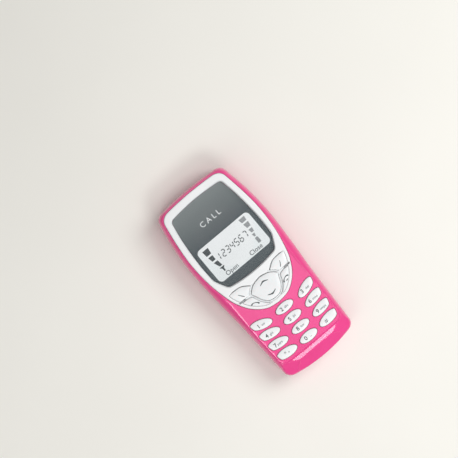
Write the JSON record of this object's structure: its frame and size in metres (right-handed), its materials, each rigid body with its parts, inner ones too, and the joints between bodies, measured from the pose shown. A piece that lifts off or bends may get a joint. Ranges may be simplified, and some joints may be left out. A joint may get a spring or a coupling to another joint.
{
  "type": "toy cell phone",
  "caption": "Toy bar phone: two-part shell, faceplate with a printed screen, sprung number keys, soft and call keys, a rocker key, sound board, speaker and cells behind a door.",
  "frame": {"origin": "middle of the back face, which the phone rests on", "axes": "+Y along the phone towards the earpiece end, +Z out of the front face, +X to the phone's right seen from the front with the earpiece end up"},
  "size_m": [0.0506, 0.1092, 0.02],
  "materials": {
    "pink_shell": "glossy injection-moulded plastic",
    "silver_white_plastic": "satin silver-white moulded plastic",
    "clear_window": "clear polished plastic",
    "printed_card": "printed slate grey with a pale panel",
    "key_white": "satin white moulded plastic with grey print",
    "silicone": "matt translucent",
    "circuit_board": "green solder mask",
    "black_resin": "cured resin",
    "tan_resin": "dipped coating",
    "steel": "plated",
    "speaker_paper": "matt",
    "red_lead": "satin insulation",
    "black_lead": "satin insulation"
  },
  "bodies": {
    "case": {"front_cover": "pink_shell", "rear_cover": "pink_shell", "faceplate": "silver_white_plastic", "screen_lens": "clear_window", "display_card": "printed_card", "keypad_mat": "silicone", "circuit_board": "circuit_board", "sound_chip": "black_resin", "board_resistor": "tan_resin", "board_transistor": "black_resin", "board_screw_1": "steel", "board_screw_2": "steel", "speaker_frame": "steel", "speaker_cone": "speaker_paper", "button_cell_1": "steel", "button_cell_2": "steel", "button_cell_3": "steel", "battery_contact_positive": "steel", "battery_contact_negative": "steel", "battery_spring": "steel", "case_screw_1": "steel", "case_screw_2": "steel", "case_screw_3": "steel", "case_screw_4": "steel", "battery_lead_red": "red_lead", "battery_lead_black": "black_lead", "speaker_lead_red": "red_lead", "speaker_lead_black": "black_lead"},
    "key_1": {"key_1": "key_white"},
    "key_2": {"key_2": "key_white"},
    "key_3": {"key_3": "key_white"},
    "key_4": {"key_4": "key_white"},
    "key_5": {"key_5": "key_white"},
    "key_6": {"key_6": "key_white"},
    "key_7": {"key_7": "key_white"},
    "key_8": {"key_8": "key_white"},
    "key_9": {"key_9": "key_white"},
    "key_star": {"key_star": "key_white"},
    "key_0": {"key_0": "key_white"},
    "key_hash": {"key_hash": "key_white"},
    "soft_key_left": {"soft_key_left": "key_white"},
    "soft_key_right": {"soft_key_right": "key_white"},
    "call_key": {"call_key": "key_white"},
    "end_key": {"end_key": "key_white"},
    "nav_key": {"nav_key": "key_white"},
    "battery_door": {"battery_door": "pink_shell", "battery_door_screw": "steel"}
  },
  "joints": [
    {"name": "key_1_press", "type": "slide", "parent": "case", "child": "key_1", "axis": [0, 0, -1], "range_m": [0, 0.0008], "stiffness_N_per_m": 300, "springref_m": -0.0005, "deforming": ["keypad_mat"]},
    {"name": "key_2_press", "type": "slide", "parent": "case", "child": "key_2", "axis": [0, 0, -1], "range_m": [0, 0.0008], "stiffness_N_per_m": 300, "springref_m": -0.0005, "deforming": ["keypad_mat"]},
    {"name": "key_3_press", "type": "slide", "parent": "case", "child": "key_3", "axis": [0, 0, -1], "range_m": [0, 0.0008], "stiffness_N_per_m": 300, "springref_m": -0.0005, "deforming": ["keypad_mat"]},
    {"name": "key_4_press", "type": "slide", "parent": "case", "child": "key_4", "axis": [0, 0, -1], "range_m": [0, 0.0008], "stiffness_N_per_m": 300, "springref_m": -0.0005, "deforming": ["keypad_mat"]},
    {"name": "key_5_press", "type": "slide", "parent": "case", "child": "key_5", "axis": [0, 0, -1], "range_m": [0, 0.0008], "stiffness_N_per_m": 300, "springref_m": -0.0005, "deforming": ["keypad_mat"]},
    {"name": "key_6_press", "type": "slide", "parent": "case", "child": "key_6", "axis": [0, 0, -1], "range_m": [0, 0.0008], "stiffness_N_per_m": 300, "springref_m": -0.0005, "deforming": ["keypad_mat"]},
    {"name": "key_7_press", "type": "slide", "parent": "case", "child": "key_7", "axis": [0, 0, -1], "range_m": [0, 0.0008], "stiffness_N_per_m": 300, "springref_m": -0.0005, "deforming": ["keypad_mat"]},
    {"name": "key_8_press", "type": "slide", "parent": "case", "child": "key_8", "axis": [0, 0, -1], "range_m": [0, 0.0008], "stiffness_N_per_m": 300, "springref_m": -0.0005, "deforming": ["keypad_mat"]},
    {"name": "key_9_press", "type": "slide", "parent": "case", "child": "key_9", "axis": [0, 0, -1], "range_m": [0, 0.0008], "stiffness_N_per_m": 300, "springref_m": -0.0005, "deforming": ["keypad_mat"]},
    {"name": "key_star_press", "type": "slide", "parent": "case", "child": "key_star", "axis": [0, 0, -1], "range_m": [0, 0.0008], "stiffness_N_per_m": 300, "springref_m": -0.0005, "deforming": ["keypad_mat"]},
    {"name": "key_0_press", "type": "slide", "parent": "case", "child": "key_0", "axis": [0, 0, -1], "range_m": [0, 0.0008], "stiffness_N_per_m": 300, "springref_m": -0.0005, "deforming": ["keypad_mat"]},
    {"name": "key_hash_press", "type": "slide", "parent": "case", "child": "key_hash", "axis": [0, 0, -1], "range_m": [0, 0.0008], "stiffness_N_per_m": 300, "springref_m": -0.0005, "deforming": ["keypad_mat"]},
    {"name": "soft_key_left_press", "type": "slide", "parent": "case", "child": "soft_key_left", "axis": [0, 0, -1], "range_m": [0, 0.0008], "stiffness_N_per_m": 300, "springref_m": -0.0005, "deforming": ["keypad_mat"]},
    {"name": "soft_key_right_press", "type": "slide", "parent": "case", "child": "soft_key_right", "axis": [0, 0, -1], "range_m": [0, 0.0008], "stiffness_N_per_m": 300, "springref_m": -0.0005, "deforming": ["keypad_mat"]},
    {"name": "call_key_press", "type": "slide", "parent": "case", "child": "call_key", "axis": [0, 0, -1], "range_m": [0, 0.0008], "stiffness_N_per_m": 300, "springref_m": -0.0005, "deforming": ["keypad_mat"]},
    {"name": "end_key_press", "type": "slide", "parent": "case", "child": "end_key", "axis": [0, 0, -1], "range_m": [0, 0.0008], "stiffness_N_per_m": 300, "springref_m": -0.0005, "deforming": ["keypad_mat"]},
    {"name": "nav_key_rock", "type": "hinge", "parent": "case", "child": "nav_key", "pos_m": [0, -0.0096, 0.0162], "axis": [1, 0, 0], "range_deg": [-3, 3], "stiffness_Nm_per_rad": 0.03, "deforming": ["keypad_mat"]},
    {"name": "battery_door_lift", "type": "slide", "parent": "case", "child": "battery_door", "axis": [0, 0, -1], "range_m": [0, 0.012]}
  ]
}
